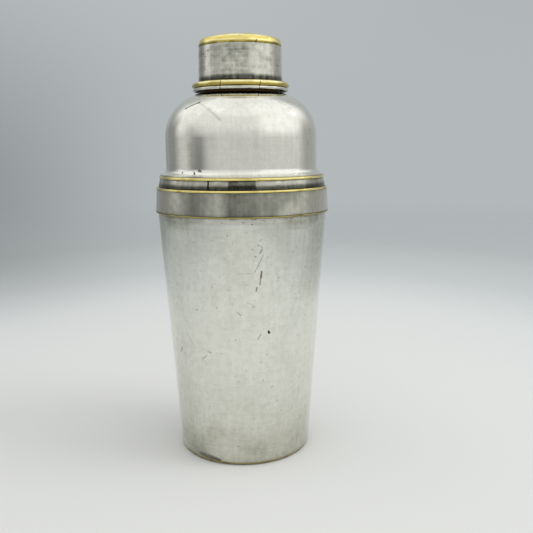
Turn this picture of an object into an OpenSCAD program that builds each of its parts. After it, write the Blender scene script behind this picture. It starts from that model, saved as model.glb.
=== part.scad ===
// Three-piece cocktail shaker: beaker, shoulder with a built-in strainer, and cap.
// Every piece is round about Z. The table is z = 0 and sizes are in millimetres.

/* [Beaker] */
// Outside diameter of the beaker's cone at the table
beaker_base_d = 61; // [48:0.5:72]
// Outside diameter of the straight mouth
beaker_mouth_d = 77; // [74:0.5:96]
// Height of the mouth edge above the table
beaker_h = 122.4; // [90:0.2:160]
// Sheet thickness of the beaker wall
beaker_t = 0.7; // [0.5:0.1:1.2]

/* [Foot] */
// Height of the ring that the beaker stands on
foot_h = 1.2; // [0.8:0.1:3]
// Width of the foot ring from its inside to its outside
foot_w = 2.8; // [2:0.1:5]
// How far the foot ring is set in from the wall above it
foot_set_in = 0.4; // [0:0.1:1]
// Sheet thickness of the base disc
base_t = 0.8; // [0.5:0.1:1.5]
// Flat rim of the base disc
base_rim_w = 5; // [3:0.5:10]
// Rise of the base disc's middle above its rim
base_rise = 2.4; // [1:0.1:5]

/* [Collar] */
// Height of the collar band between its two wires
collar_band_h = 9.5; // [5:0.1:12]
// Sheet thickness of the collar band
collar_t = 0.5; // [0.4:0.1:1]
// Extra radius at the foot of the collar band
collar_flare = 0.5; // [0:0.1:1.5]
// Height of the wire on the mouth edge
mouth_wire_h = 1.1; // [0.8:0.1:2]
// Height of the thin wire under the collar band
collar_wire_h = 0.8; // [0.6:0.1:1.5]
// How far the collar's wires stand proud of its band
collar_wire_proud = 0.12; // [0:0.02:0.5]

/* [Shoulder] */
// Height of the flared band at the shoulder's foot
foot_band_h = 3.7; // [2:0.1:8]
// Thickness of that band at its upper edge
foot_band_t = 0.55; // [0.4:0.05:1]
// Extra radius at that band's lower edge
foot_band_flare = 0.7; // [0:0.05:0.9]
// Height of the gilt wire under the dome
shoulder_wire_h = 1.2; // [0.8:0.1:2]
// How far that wire stands proud of the foot band's upper edge
shoulder_wire_proud = 0.35; // [0:0.05:0.6]
// How far the dome's edge is set in from the foot band's upper edge
dome_set_in = 0.2; // [0:0.05:0.4]
// Height of the dome's straight part above its cove
dome_straight_h = 12.9; // [6:0.1:24]
// Radius of the bend from the dome's side to its top
dome_bend_r = 20; // [17:0.5:22]
// Radius of the hollow cove at the dome's foot
cove_r = 2.8; // [2:0.1:3.4]
// Sheet thickness of the dome
dome_t = 0.7; // [0.5:0.1:1]

/* [Mouth sleeve] */
// Length of the sleeve below the shoulder's foot
sleeve_len = 11.5; // [6:0.5:20]
// Straight mouth left below the sleeve's end
mouth_spare = 1.5; // [0.5:0.1:6]
// Sheet thickness of the sleeve
sleeve_t = 0.6; // [0.4:0.1:0.8]
// Inward step where the sleeve enters the foot band
sleeve_step = 0.9; // [0.8:0.05:1.2]
// How far the sleeve's end stays below the foot band's upper edge
sleeve_end_drop = 0.9; // [0.3:0.1:1.5]

/* [Neck and strainer] */
// Outside diameter of the neck
neck_d = 35.6; // [33:0.1:36]
// Height of the neck's edge above the dome
neck_h = 19.4; // [10:0.1:40]
// Sheet thickness of the neck
neck_t = 0.6; // [0.4:0.1:1]
// Length of neck left inside the dome
neck_inside_h = 0.6; // [0.2:0.1:2]
// Height of the lip on the neck's edge
lip_h = 1; // [0.8:0.1:2]
// Width of the lip from its inside to its outside
lip_w = 1.5; // [1.2:0.1:3]
// Sheet thickness of the strainer
strainer_t = 0.5; // [0.4:0.1:0.8]
// Height of the strainer's rim
strainer_rim_h = 3; // [1.5:0.1:6]
// Diameter of a strainer hole
strainer_hole_d = 3; // [2:0.1:3.4]
// Plain border between the outer ring of holes and the rim
strainer_border = 2.2; // [1:0.1:4]
// Rings of strainer holes round the middle one
strainer_rings = 3; // [1:1:3]

/* [Cap] */
// Height of the cap's lowest edge above the dome
cap_gap = 0.3; // [0.3:0.05:2]
// Sheet thickness of the cap
cap_t = 0.55; // [0.4:0.05:0.8]
// Extra radius at the foot of the cap's wall
cap_taper = 0.3; // [0:0.05:0.8]
// Radius of the hollow from the cap's wall to its flare
flare_r = 1.1; // [1:0.1:2]
// Flat width of the flare as far as its beads' middle
flare_w = 0.8; // [0.3:0.05:1]
// Diameter of the gilt bead that wraps the flare's edge
gilt_bead_d = 2.3; // [1.8:0.1:2.8]
// Diameter of the plain bead under the flare
rim_bead_d = 1.6; // [1.2:0.1:2.2]
// Depth of the flat that the plain bead is soldered by
bead_flat = 0.15; // [0.05:0.01:0.3]
// Height of the crown's upright edge
crown_edge_h = 0.9; // [0.4:0.1:2]
// Radius of the crown's rounded edge
crown_edge_r = 3; // [2:0.1:4]
// Steepness of the crown's top where it meets the rounded edge, in degrees
crown_slope = 14; // [10:1:26]
// Thickness of the cork disc
cork_t = 2.4; // [1.5:0.1:4]

/* [Clearances] */
// Gap of a soldered joint
solder_gap = 0.05; // [0.02:0.01:0.1]
// Gap where a loose piece rests on its seat
seat_gap = 0.05; // [0.02:0.01:0.2]
// Radial clearance of the sleeve in the mouth
sleeve_fit = 0.1; // [0.05:0.01:0.2]
// Radial clearance of the cap over the neck
cap_fit = 0.15; // [0.05:0.01:0.3]

/* [Hidden] */
$fn = 96;
// Overlap past a cut face
eps = 1;

// Beaker levels and radii
mouth_r = beaker_mouth_d / 2;
mouth_in_r = mouth_r - beaker_t;
mouth_len = sleeve_len + mouth_spare;
cone_top_z = beaker_h - mouth_len;
cone_rate = (mouth_r - beaker_base_d / 2) / cone_top_z;
wall_z = foot_h + solder_gap;
function wall_r(z) = min(mouth_r, beaker_base_d / 2 + cone_rate * z);
foot_r = wall_r(wall_z) - foot_set_in;
base_edge_r = wall_r(wall_z) - beaker_t - solder_gap;
base_dish_r = base_edge_r - base_rim_w;
base_ball_r = (base_dish_r * base_dish_r + base_rise * base_rise) / (2 * base_rise);

// Collar levels and radii
collar_in_r = mouth_r + solder_gap;
collar_top_r = collar_in_r + collar_t;
collar_low_r = collar_top_r + collar_flare;
collar_low_z = beaker_h - collar_band_h;
collar_wire_top = collar_low_z - solder_gap;
mouth_wire_z = beaker_h + solder_gap;
mouth_wire_top = mouth_wire_z + mouth_wire_h;

// Shoulder levels and radii, from its seat on the mouth wire
seat_z = mouth_wire_top + seat_gap;
sleeve_r = mouth_in_r - sleeve_fit;
grip_r = sleeve_r - sleeve_step;
foot_band_in_r = grip_r + solder_gap;
foot_band_top_r = foot_band_in_r + foot_band_t;
foot_band_low_r = foot_band_top_r + foot_band_flare;
shoulder_wire_z = seat_z + foot_band_h + solder_gap;
dome_foot_z = shoulder_wire_z + shoulder_wire_h + solder_gap;
cove_x = foot_band_top_r - dome_set_in;
dome_r = cove_x - cove_r;
cove_z = dome_foot_z + cove_r + dome_t;
bend_x = dome_r - dome_bend_r;
bend_z = cove_z + dome_straight_h;
dome_top_z = bend_z + dome_bend_r;

// Neck and strainer
neck_r = neck_d / 2;
neck_in_r = neck_r - neck_t;
neck_hole_r = neck_r + solder_gap;
// Height of the dome's inside at the edge of the neck's hole
bend_in_r = dome_bend_r - dome_t;
hole_in_x = max(0, neck_hole_r - bend_x);
hole_in_z = bend_z + sqrt(bend_in_r * bend_in_r - hole_in_x * hole_in_x);
neck_low_z = hole_in_z - neck_inside_h;
neck_top_z = dome_top_z + neck_h;
lip_z = neck_top_z + solder_gap;
lip_top = lip_z + lip_h;
strainer_r = neck_in_r - solder_gap;
strainer_holes_r = strainer_r - strainer_t - strainer_border - strainer_hole_d / 2;
strainer_pitch = strainer_holes_r / strainer_rings;

// Cap levels and radii, from its cork's seat on the neck lip
cork_z = lip_top + seat_gap;
cap_in_r = neck_r + cap_fit;
cap_top_r = cap_in_r + cap_t;
cap_low_r = cap_top_r + cap_taper;
cap_top_z = lip_z;
rim_low_z = dome_top_z + cap_gap;
rim_seat_z = rim_low_z + rim_bead_d - bead_flat;
flare_low_z = rim_seat_z + solder_gap;
flare_z = flare_low_z + cap_t;
flare_x = cap_low_r + flare_r;
flare_cove_z = flare_z + flare_r;
bead_x = flare_x + flare_w;
gilt_seat_z = flare_z + solder_gap;
gilt_bead_z = flare_low_z + gilt_bead_d / 2;
crown_z = cap_top_z + solder_gap;
crown_bend_x = cap_top_r - crown_edge_r;
crown_bend_z = crown_z + crown_edge_h;
crown_top_x = crown_bend_x + crown_edge_r * sin(crown_slope);
crown_top_z = crown_bend_z + crown_edge_r * cos(crown_slope);
crown_ball_r = crown_top_x / sin(crown_slope);
crown_ball_z = crown_top_z - crown_ball_r * cos(crown_slope);

// Plating colours
silver = [0.76, 0.76, 0.71];
gilt = [0.85, 0.78, 0.46];
worn_gilt = [0.66, 0.62, 0.45];
tarnish = [0.33, 0.27, 0.18];
cork_brown = [0.72, 0.55, 0.36];

// Half section of a flat ring
module ring_section(in_r, out_r, low_z, top_z) {
    translate([in_r, low_z])
        square([out_r - in_r, top_z - low_z]);
}

// Half section of a ring whose outer edge is round
module wire_section(in_r, out_r, low_z, h) {
    ring_section(in_r, out_r - h / 2, low_z, low_z + h);
    translate([out_r - h / 2, low_z + h / 2])
        circle(h / 2);
}

module beaker_wall() {
    low_r = wall_r(wall_z);
    color(silver)
        rotate_extrude()
            polygon([
                [low_r - beaker_t, wall_z],
                [low_r, wall_z],
                [mouth_r, cone_top_z],
                [mouth_r, beaker_h],
                [mouth_in_r, beaker_h],
                [mouth_in_r, cone_top_z]
            ]);
}

// Flat rim on the foot ring, and a middle that rises as a shallow ball cap
module base_disc() {
    ball_z = wall_z + base_t + base_rise - base_ball_r;
    color(silver)
        rotate_extrude() {
            ring_section(base_dish_r, base_edge_r, wall_z, wall_z + base_t);
            intersection() {
                translate([0, ball_z])
                    difference() {
                        circle(base_ball_r);
                        circle(base_ball_r - base_t);
                    }
                ring_section(0, base_dish_r, wall_z, wall_z + base_t + base_rise + eps);
            }
        }
}

module foot_ring() {
    color(worn_gilt)
        rotate_extrude()
            wire_section(foot_r - foot_w, foot_r, 0, foot_h);
}

module collar_band() {
    color(silver)
        rotate_extrude()
            polygon([
                [collar_low_r - collar_t, collar_low_z],
                [collar_low_r, collar_low_z],
                [collar_top_r, beaker_h],
                [collar_in_r, beaker_h]
            ]);
}

module collar_top_wire() {
    color(gilt)
        rotate_extrude()
            wire_section(mouth_in_r, collar_top_r + collar_wire_proud, mouth_wire_z, mouth_wire_h);
}

module collar_bottom_wire() {
    in_r = wall_r(collar_wire_top) + solder_gap;
    low_z = collar_wire_top - collar_wire_h;
    color(worn_gilt)
        rotate_extrude()
            wire_section(in_r, collar_low_r + collar_wire_proud, low_z, collar_wire_h);
}

// The space outlined by the dome, taken in by a sheet thickness for its inside
module dome_section(inset) {
    difference() {
        ring_section(0, cove_x, dome_foot_z, cove_z);
        translate([cove_x, cove_z])
            circle(cove_r + inset);
    }
    ring_section(0, dome_r - inset, cove_z, bend_z);
    ring_section(0, bend_x, bend_z, dome_top_z - inset);
    intersection() {
        translate([bend_x, bend_z])
            circle(dome_bend_r - inset);
        ring_section(bend_x, dome_r, bend_z, dome_top_z);
    }
}

module shoulder_dome() {
    color(silver)
        rotate_extrude()
            difference() {
                dome_section(0);
                dome_section(dome_t);
                ring_section(0, neck_hole_r, dome_foot_z - eps, dome_top_z + eps);
            }
}

module shoulder_foot_band() {
    color(silver)
        rotate_extrude()
            polygon([
                [foot_band_in_r, seat_z],
                [foot_band_low_r, seat_z],
                [foot_band_top_r, seat_z + foot_band_h],
                [foot_band_in_r, seat_z + foot_band_h]
            ]);
}

module shoulder_wire() {
    out_r = foot_band_top_r + shoulder_wire_proud;
    color(gilt)
        rotate_extrude()
            wire_section(foot_band_in_r, out_r, shoulder_wire_z, shoulder_wire_h);
}

// Plug sleeve, stepped in so that its upper end is held inside the foot band
module mouth_sleeve() {
    low_z = seat_z - sleeve_len;
    step_z = seat_z - solder_gap;
    end_z = seat_z + foot_band_h - sleeve_end_drop;
    color(silver)
        rotate_extrude()
            polygon([
                [sleeve_r - sleeve_t, low_z],
                [sleeve_r, low_z],
                [sleeve_r, step_z],
                [grip_r, step_z],
                [grip_r, end_z],
                [grip_r - sleeve_t, end_z],
                [grip_r - sleeve_t, step_z - sleeve_t],
                [sleeve_r - sleeve_t, step_z - sleeve_t]
            ]);
}

module neck_tube() {
    color(tarnish)
        rotate_extrude()
            ring_section(neck_in_r, neck_r, neck_low_z, neck_top_z);
}

module neck_lip() {
    color(silver)
        rotate_extrude()
            wire_section(neck_r - lip_w, neck_r, lip_z, lip_h);
}

// Shallow perforated cup: one hole in the middle and rings of six, twelve and so on
module strainer() {
    rim_z = neck_low_z + strainer_rim_h;
    color(silver)
        difference() {
            rotate_extrude() {
                ring_section(0, strainer_r, neck_low_z, neck_low_z + strainer_t);
                ring_section(strainer_r - strainer_t, strainer_r, neck_low_z, rim_z);
            }
            for (k = [0:strainer_rings])
                for (n = [0:max(1, 6 * k) - 1])
                    rotate(n * 360 / max(1, 6 * k))
                        translate([k * strainer_pitch, 0, neck_low_z - eps])
                            cylinder(d = strainer_hole_d, h = strainer_t + 2 * eps, $fn = 48);
        }
}

// Tapered wall that turns out through a hollow into a flat flare
module cap_wall() {
    color(silver)
        rotate_extrude() {
            polygon([
                [cap_low_r - cap_t, flare_cove_z],
                [cap_low_r, flare_cove_z],
                [cap_top_r, cap_top_z],
                [cap_in_r, cap_top_z]
            ]);
            intersection() {
                translate([flare_x, flare_cove_z])
                    difference() {
                        circle(flare_r + cap_t);
                        circle(flare_r);
                    }
                ring_section(cap_low_r - cap_t, flare_x, flare_low_z, flare_cove_z);
            }
            ring_section(flare_x, bead_x, flare_low_z, flare_z);
        }
}

// Round bead cut to sit on the flare, with a lip that covers the flare's edge
module cap_gilt_bead() {
    low_z = gilt_bead_z - gilt_bead_d;
    color(gilt)
        rotate_extrude()
            difference() {
                translate([bead_x, gilt_bead_z])
                    circle(d = gilt_bead_d);
                ring_section(flare_x - eps, bead_x + solder_gap, low_z, gilt_seat_z);
                difference() {
                    ring_section(0, flare_x, low_z, flare_cove_z);
                    translate([flare_x, flare_cove_z])
                        circle(flare_r - solder_gap);
                }
            }
}

// Round bead with a soldering flat on its upper side
module cap_rim_bead() {
    bead_z = rim_low_z + rim_bead_d / 2;
    color(silver)
        rotate_extrude()
            intersection() {
                translate([bead_x, bead_z])
                    circle(d = rim_bead_d);
                ring_section(bead_x - rim_bead_d, bead_x + rim_bead_d, rim_low_z, rim_seat_z);
            }
}

// The space outlined by the crown, taken in by a sheet thickness for its inside
module crown_section(inset) {
    ball_top_z = crown_ball_z + crown_ball_r;
    ring_section(0, cap_top_r - inset, crown_z, crown_bend_z);
    intersection() {
        translate([crown_bend_x, crown_bend_z])
            circle(crown_edge_r - inset);
        ring_section(crown_bend_x, cap_top_r, crown_bend_z, crown_bend_z + crown_edge_r);
    }
    intersection() {
        translate([0, crown_ball_z])
            circle(crown_ball_r - inset);
        ring_section(0, crown_top_x - inset * sin(crown_slope), crown_bend_z, ball_top_z);
    }
}

module cap_crown() {
    color(gilt)
        rotate_extrude()
            difference() {
                crown_section(0);
                crown_section(cap_t);
            }
}

// Disc cut to the crown's inside
module cork_seal() {
    color(cork_brown)
        rotate_extrude()
            intersection() {
                crown_section(cap_t + solder_gap);
                ring_section(0, cap_in_r, cork_z, cork_z + cork_t);
            }
}

beaker_wall();
base_disc();
foot_ring();
collar_band();
collar_top_wire();
collar_bottom_wire();
shoulder_dome();
shoulder_foot_band();
shoulder_wire();
mouth_sleeve();
neck_tube();
neck_lip();
strainer();
cap_wall();
cap_gilt_bead();
cap_rim_bead();
cap_crown();
cork_seal();
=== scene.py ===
"""Looks of a three-piece cocktail shaker: spun silver plate with gilt wires, round its CAD frame.

The frame is in metres with the table at z = 0. Sections, marks and patterns are written in
millimetres, and an angle on the shaker is 0 towards the camera and grows to the right.
"""
import math

import bpy
from mathutils import Matrix, Vector


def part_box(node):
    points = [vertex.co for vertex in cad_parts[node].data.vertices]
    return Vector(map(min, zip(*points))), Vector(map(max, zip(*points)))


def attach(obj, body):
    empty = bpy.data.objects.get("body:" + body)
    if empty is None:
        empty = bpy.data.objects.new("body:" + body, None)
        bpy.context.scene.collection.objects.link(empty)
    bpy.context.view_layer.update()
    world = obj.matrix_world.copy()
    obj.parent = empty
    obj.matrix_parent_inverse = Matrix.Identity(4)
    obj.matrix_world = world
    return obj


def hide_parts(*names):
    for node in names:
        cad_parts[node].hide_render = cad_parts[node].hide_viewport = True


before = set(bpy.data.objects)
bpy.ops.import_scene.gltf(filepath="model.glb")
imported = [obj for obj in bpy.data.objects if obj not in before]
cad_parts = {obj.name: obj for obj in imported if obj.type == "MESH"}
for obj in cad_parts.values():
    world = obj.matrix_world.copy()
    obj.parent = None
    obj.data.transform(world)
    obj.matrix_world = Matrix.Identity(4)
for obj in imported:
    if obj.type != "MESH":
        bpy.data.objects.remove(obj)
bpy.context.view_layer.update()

MM = 0.001

# Sheet thicknesses and gaps that the CAD boxes don't tell
SOLDER_GAP = 0.05
BEAKER_T = 0.7
BASE_T = 0.8
BASE_RIM_W = 5.0
COLLAR_T = 0.5
COLLAR_FLARE = 0.5
DOME_T = 0.7
COVE_R = 2.8
DOME_BEND_R = 20.0
BEAKER_BEND_R = 12.0
BASE_BEND_R = 2.0
FOOT_BAND_FLARE = 0.7
SLEEVE_T = 0.6
SLEEVE_STEP = 0.9
SLEEVE_BELOW_BEND = 2.7
NECK_T = 0.6
LIP_W = 1.5
STRAINER_T = 0.5
STRAINER_HOLE_D = 3.0
STRAINER_BORDER = 2.2
STRAINER_RINGS = 3
CAP_T = 0.55
CAP_TAPER = 0.3
FLARE_R = 1.1
CROWN_EDGE_H = 0.9
CROWN_EDGE_R = 3.0
CROWN_SLOPE = math.radians(14)
FOOT_W = 2.8

# Roundness of cut sheet edges, and of the gilt bead's lip in its corner and at its foot
EDGE_R = 0.12
LIP_SEAT_R = 0.05
LIP_FOOT_R = 0.02

# Share of the full round that a fillet takes, so that its straight sides keep some length
BASE_ROUND = 0.9
DOME_ROUND = 0.985
BEAD_ROUND = 0.95
BEAD_FOOT_ROUND = 0.9
CROWN_ROUND = 0.98
CORK_ROUND = 0.8

# Level of the fine line scribed round the beaker under its collar
SCRIBED_LINE = 107.3

# Roughness that the plate inside a cup has over its outside
INSIDE_MATT = 0.42

# Fineness of the spun meshes
SIDES = 320
HOLE_SIDES = 24
RUN_STEP = 1.6
ARC_TURN = math.radians(7)
SUPPORT = 0.12

# Distance in metres under which points of a mesh are joined
WELD = 1e-6

# Camera, fitted to the rings of the shaker
CAMERA_PLACE = (0.01099, -0.31583, 0.14208)
CAMERA_DOWN = math.radians(10.19)
CAMERA_ROLL = math.radians(-0.48)
IMAGE_PX = 533
FOCAL_PX = 680.0
SENSOR_MM = 36.0


def linear(code):
    """Linear RGBA of an sRGB hex colour."""
    parts = [int(code[i:i + 2], 16) / 255 for i in (1, 3, 5)]
    rgb = [c / 12.92 if c <= 0.04045 else ((c + 0.055) / 1.055) ** 2.4 for c in parts]
    return (*rgb, 1.0)


def shades(stops):
    """Stops of (place, sRGB hex colour) with their colours made linear."""
    return [(place, linear(code)) for place, code in stops]


def grey(level):
    """A grey of that linear level, for a light or a ramp that carries a number."""
    return (level, level, level, 1.0)


def fill(tree, node, inputs):
    """Gives a node's inputs, by key or in order, their values or links. A list makes several links."""
    pairs = inputs.items() if isinstance(inputs, dict) else enumerate(inputs)
    for key, value in pairs:
        for item in value if isinstance(value, list) else [value]:
            if isinstance(item, bpy.types.NodeSocket):
                tree.links.new(item, node.inputs[key])
            else:
                node.inputs[key].default_value = item


def add(tree, kind, inputs=(), out=0, stops=None, **settings):
    """Adds a node with its settings, values, links and colour stops, and returns one output.

    Kind is its type without GeometryNode or ShaderNode before it, and with an operation after a dot.
    """
    kind, _, operation = kind.partition(".")
    own_kind = tree.bl_idname.removesuffix("Tree") + kind
    node = tree.nodes.new(own_kind if hasattr(bpy.types, own_kind) else "ShaderNode" + kind)
    if operation:
        node.operation = operation
    for name, value in settings.items():
        setattr(node, name, value)
    fill(tree, node, inputs)
    if stops:
        elements = node.color_ramp.elements
        for element, (place, colour) in ((elements[0], stops[0]), (elements[1], stops[-1])):
            element.position = place
            element.color = colour
        for place, colour in stops[1:-1]:
            elements.new(place).color = colour
    return node.outputs[out]


def coated(tree, colour, coats):
    """A colour under several coats, each of them a (mask, colour) laid over those before it."""
    for mask, shade in coats:
        colour = add(tree, "Mix", {0: mask, 6: colour, 7: shade}, out=2, data_type="RGBA")
    return colour


def sway(tree, value, pattern, amount):
    """A value pushed up and down by a noise pattern, whose middle is 0.5."""
    centred = add(tree, "Math.SUBTRACT", [pattern, 0.5])
    return add(tree, "Math.MULTIPLY_ADD", [centred, amount, value])


def new_group(name, kind, inputs, output):
    """A node group's tree, the sockets that bring its inputs in, and their identifiers by name."""
    tree = bpy.data.node_groups.new(name, kind + "NodeTree")
    tree.interface.new_socket(output[0], in_out="OUTPUT", socket_type="NodeSocket" + output[1])
    names = {}
    for label, sort in inputs.items():
        made = tree.interface.new_socket(label, in_out="INPUT", socket_type="NodeSocket" + sort)
        names[label] = made.identifier
    return tree, tree.nodes.new("NodeGroupInput").outputs, names


# Sections


def reach(node):
    """Outside radius, lowest and highest level of a round CAD node, in millimetres."""
    low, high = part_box(node)
    return high.x / MM, low.z / MM, high.z / MM


def outline(corners, closed):
    """Points along a section of (radius, level, fillet) corners, each corner turned into an arc.

    A corner that gives no fillet is a cut edge.
    """
    arcs = []
    for i, (r, z, *fillets) in enumerate(corners):
        fillet = fillets[0] if fillets else EDGE_R
        here = Vector((r, z))
        if not closed and i in (0, len(corners) - 1):
            arcs.append([here])
            continue
        before = (Vector(corners[i - 1][:2]) - here).normalized()
        after = (Vector(corners[(i + 1) % len(corners)][:2]) - here).normalized()
        half = before.angle(after) / 2
        centre = here + (before + after).normalized() * fillet / math.sin(half)
        spoke = here + before * fillet / math.tan(half) - centre
        turn = math.copysign(math.pi - 2 * half, after.x * before.y - after.y * before.x)
        count = max(3, math.ceil(abs(turn) / ARC_TURN), math.ceil(abs(turn) * fillet / RUN_STEP))
        arcs.append([centre + Matrix.Rotation(turn * k / count, 2) @ spoke for k in range(count + 1)])
    points = []
    for i, arc in enumerate(arcs):
        points += arc
        if i == len(arcs) - 1 and not closed:
            break
        start, end = arc[-1], arcs[(i + 1) % len(arcs)][0]
        length = (end - start).length
        if length < 4 * SUPPORT:
            continue
        spans = math.ceil((length - 2 * SUPPORT) / RUN_STEP)
        stations = [SUPPORT + (length - 2 * SUPPORT) * k / spans for k in range(spans + 1)]
        points += [start.lerp(end, s / length) for s in stations]
    return points + points[:1] if closed else points


def ring(in_r, out_r, low, top, out_fillet=EDGE_R, flare=0.0, in_flare=0.0):
    """Corners of a ring, counted round so that its faces point outwards. A flare draws its top in."""
    return [
        (in_r, low),
        (out_r, low, out_fillet),
        (out_r - flare, top, out_fillet),
        (in_r - in_flare, top),
    ]


def wire(node, in_r):
    """Corners of a ring whose outer edge is half round."""
    out_r, low, top = reach(node)
    return ring(in_r, out_r, low, top, out_fillet=(top - low) / 2)


def beaker_side():
    """Radius of the beaker's foot and mouth, and the level where its taper ends."""
    low_r = reach("base_disc")[0] + SOLDER_GAP + BEAKER_T
    return low_r, reach("beaker_wall")[0], reach("mouth_sleeve")[1] - SLEEVE_BELOW_BEND


def beaker_wall_section():
    low, top = reach("beaker_wall")[1:]
    low_r, mouth_r, bend = beaker_side()
    return [
        (low_r - BEAKER_T, low),
        (low_r, low),
        (mouth_r, bend, BEAKER_BEND_R),
        (mouth_r, top),
        (mouth_r - BEAKER_T, top),
        (mouth_r - BEAKER_T, bend, BEAKER_BEND_R),
    ]


def base_disc_section():
    """A flat rim and a middle that rises as a shallow ball cap."""
    edge_r, low, top = reach("base_disc")
    dish_r = edge_r - BASE_RIM_W
    rise = top - low - BASE_T
    ball_r = (dish_r ** 2 + rise ** 2) / (2 * rise)
    bend_r = (dish_r ** 2 + rise ** 2) / (2 * dish_r)
    fillet = ball_r * BASE_ROUND
    return [
        (0, top - BASE_T),
        (bend_r, top - BASE_T, fillet),
        (dish_r, low, BASE_BEND_R),
        (edge_r, low),
        (edge_r, low + BASE_T),
        (dish_r, low + BASE_T, BASE_BEND_R),
        (bend_r, top, fillet),
        (0, top),
    ]


def collar_band_section():
    low_r, low, top = reach("collar_band")
    return ring(low_r - COLLAR_T, low_r, low, top, flare=COLLAR_FLARE, in_flare=COLLAR_FLARE)


def dome_bend_middle():
    """Radius and level of the middle of the dome's bend, and radius of the neck's hole in it."""
    edge_r, _, top = reach("shoulder_dome")
    middle_r = edge_r - COVE_R - DOME_BEND_R
    hole_r = reach("neck_tube")[0] + SOLDER_GAP
    return middle_r, top - math.sqrt(DOME_BEND_R ** 2 - (hole_r - middle_r) ** 2), hole_r


def dome_bend(inset):
    """Corners of the dome's bend and of the edge where the neck's hole cuts it."""
    middle_r, middle, hole_r = dome_bend_middle()
    bend_r = DOME_BEND_R - inset
    slope = math.asin((hole_r - middle_r) / bend_r)
    cut = middle + bend_r * math.cos(slope)
    corner = cut - (middle_r + bend_r - hole_r) * math.tan(slope)
    return [(middle_r + bend_r, corner, bend_r * DOME_ROUND), (hole_r, cut)]


def dome_section():
    """A flange, a cove, a straight side and a round bend up to the neck's hole."""
    edge_r, low, _ = reach("shoulder_dome")
    side_r = edge_r - COVE_R
    return [
        (edge_r, low),
        (edge_r, low + DOME_T),
        (side_r, low + DOME_T, COVE_R - EDGE_R),
        *dome_bend(0),
        *dome_bend(DOME_T)[::-1],
        (side_r - DOME_T, low, COVE_R + DOME_T - EDGE_R),
    ]


def foot_band_section():
    low_r, low, top = reach("shoulder_foot_band")
    in_r = reach("mouth_sleeve")[0] - SLEEVE_STEP + SOLDER_GAP
    return ring(in_r, low_r, low, top, flare=FOOT_BAND_FLARE)


def sleeve_section():
    """The plug sleeve, stepped in where the foot band holds it."""
    sleeve_r, low, top = reach("mouth_sleeve")
    step = reach("shoulder_foot_band")[1] - SOLDER_GAP
    grip_r = sleeve_r - SLEEVE_STEP
    return [
        (sleeve_r - SLEEVE_T, low),
        (sleeve_r, low),
        (sleeve_r, step, 2 * EDGE_R),
        (grip_r, step),
        (grip_r, top),
        (grip_r - SLEEVE_T, top),
        (grip_r - SLEEVE_T, step - SLEEVE_T),
        (sleeve_r - SLEEVE_T, step - SLEEVE_T),
    ]


def cap_wall_section():
    """A tapered wall that turns out through a hollow into a flat flare."""
    flare_r, low, top = reach("cap_wall")
    top_r = reach("cap_crown")[0]
    low_r = top_r + CAP_TAPER
    return [
        (flare_r, low),
        (flare_r, low + CAP_T),
        (low_r, low + CAP_T, FLARE_R),
        (top_r, top),
        (top_r - CAP_T, top),
        (low_r - CAP_T, low, FLARE_R + CAP_T),
    ]


def gilt_bead_section():
    """A round bead that sits on the cap's flare, with a lip over the flare's edge."""
    out_r, low, top = reach("cap_gilt_bead")
    edge_r = reach("cap_wall")[0]
    round_r = (top - low) / 2
    in_r = edge_r - round_r
    seat = low + CAP_T + SOLDER_GAP
    lip_r = edge_r + SOLDER_GAP
    return [
        (in_r, seat, 2 * EDGE_R),
        (lip_r, seat, LIP_SEAT_R),
        (lip_r, low, LIP_FOOT_R),
        (out_r, low, round_r * BEAD_FOOT_ROUND),
        (out_r, top, round_r * BEAD_ROUND),
        (in_r, top, round_r * BEAD_ROUND),
    ]


def rim_bead_section():
    """A round bead under the cap's flare, with a soldering flat on its upper side."""
    out_r, low, top = reach("cap_rim_bead")
    edge_r = reach("cap_wall")[0]
    round_r = out_r - edge_r
    flat_r = top - low - round_r
    return [
        (edge_r - round_r, low, round_r),
        (out_r, low, round_r),
        (out_r, top, flat_r),
        (edge_r - round_r, top, flat_r),
    ]


def crown_side(inset):
    """Corners of the crown's upright edge and of its ball top, taken in by a sheet thickness."""
    edge_r, low, top = reach("cap_crown")
    bend_rise = (CROWN_EDGE_R - inset) * math.tan((math.pi / 2 - CROWN_SLOPE) / 2)
    ball_r = (edge_r - CROWN_EDGE_R) / math.sin(CROWN_SLOPE) + CROWN_EDGE_R - inset
    return [
        (ball_r * math.tan(CROWN_SLOPE / 2), top - inset, ball_r * CROWN_ROUND),
        (edge_r - inset, low + CROWN_EDGE_H + bend_rise, CROWN_EDGE_R - inset),
    ]


def crown_section():
    edge_r, low, top = reach("cap_crown")
    foot = [(edge_r - CAP_T, low), (edge_r, low)]
    return [(0, top - CAP_T), *crown_side(CAP_T), *foot, *crown_side(0)[::-1], (0, top)]


def cork_section():
    """A disc cut to the crown's inside."""
    low, top = reach("cork_seal")[1:]
    side_r, side_top, fillet = crown_side(CAP_T + SOLDER_GAP)[1]
    top_r = side_r - (top - side_top) / math.tan(CROWN_SLOPE)
    return [
        (0, low),
        (side_r, low, 2 * EDGE_R),
        (side_r, side_top, fillet * CORK_ROUND),
        (top_r, top, 2 * EDGE_R),
        (0, top),
    ]


# Spinning and piercing with Geometry Nodes

DENT_LENGTHS = ("Dent depth", "Dent size", "Dents from", "Dents to", "Dents fade")
PLATE_LENGTHS = ("Plate radius", "Plate level", "Plate thickness", "Hole radius", "Hole pitch")

# A sheet without dents: those five lengths in millimetres, and the noise's seed
NO_DENTS = (0.0, 1.0, 0.0, 1.0, 1.0, 0)


def hand_over(tree, geometry, finish):
    """Makes a tree's geometry one plain piece in its finish, and sends it out."""
    single = add(tree, "RealizeInstances", {"Geometry": geometry})
    plated = add(tree, "SetMaterial", {"Geometry": single, "Material": finish})
    fill(tree, tree.nodes.new("NodeGroupOutput"), {"Piece": plated})


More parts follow.
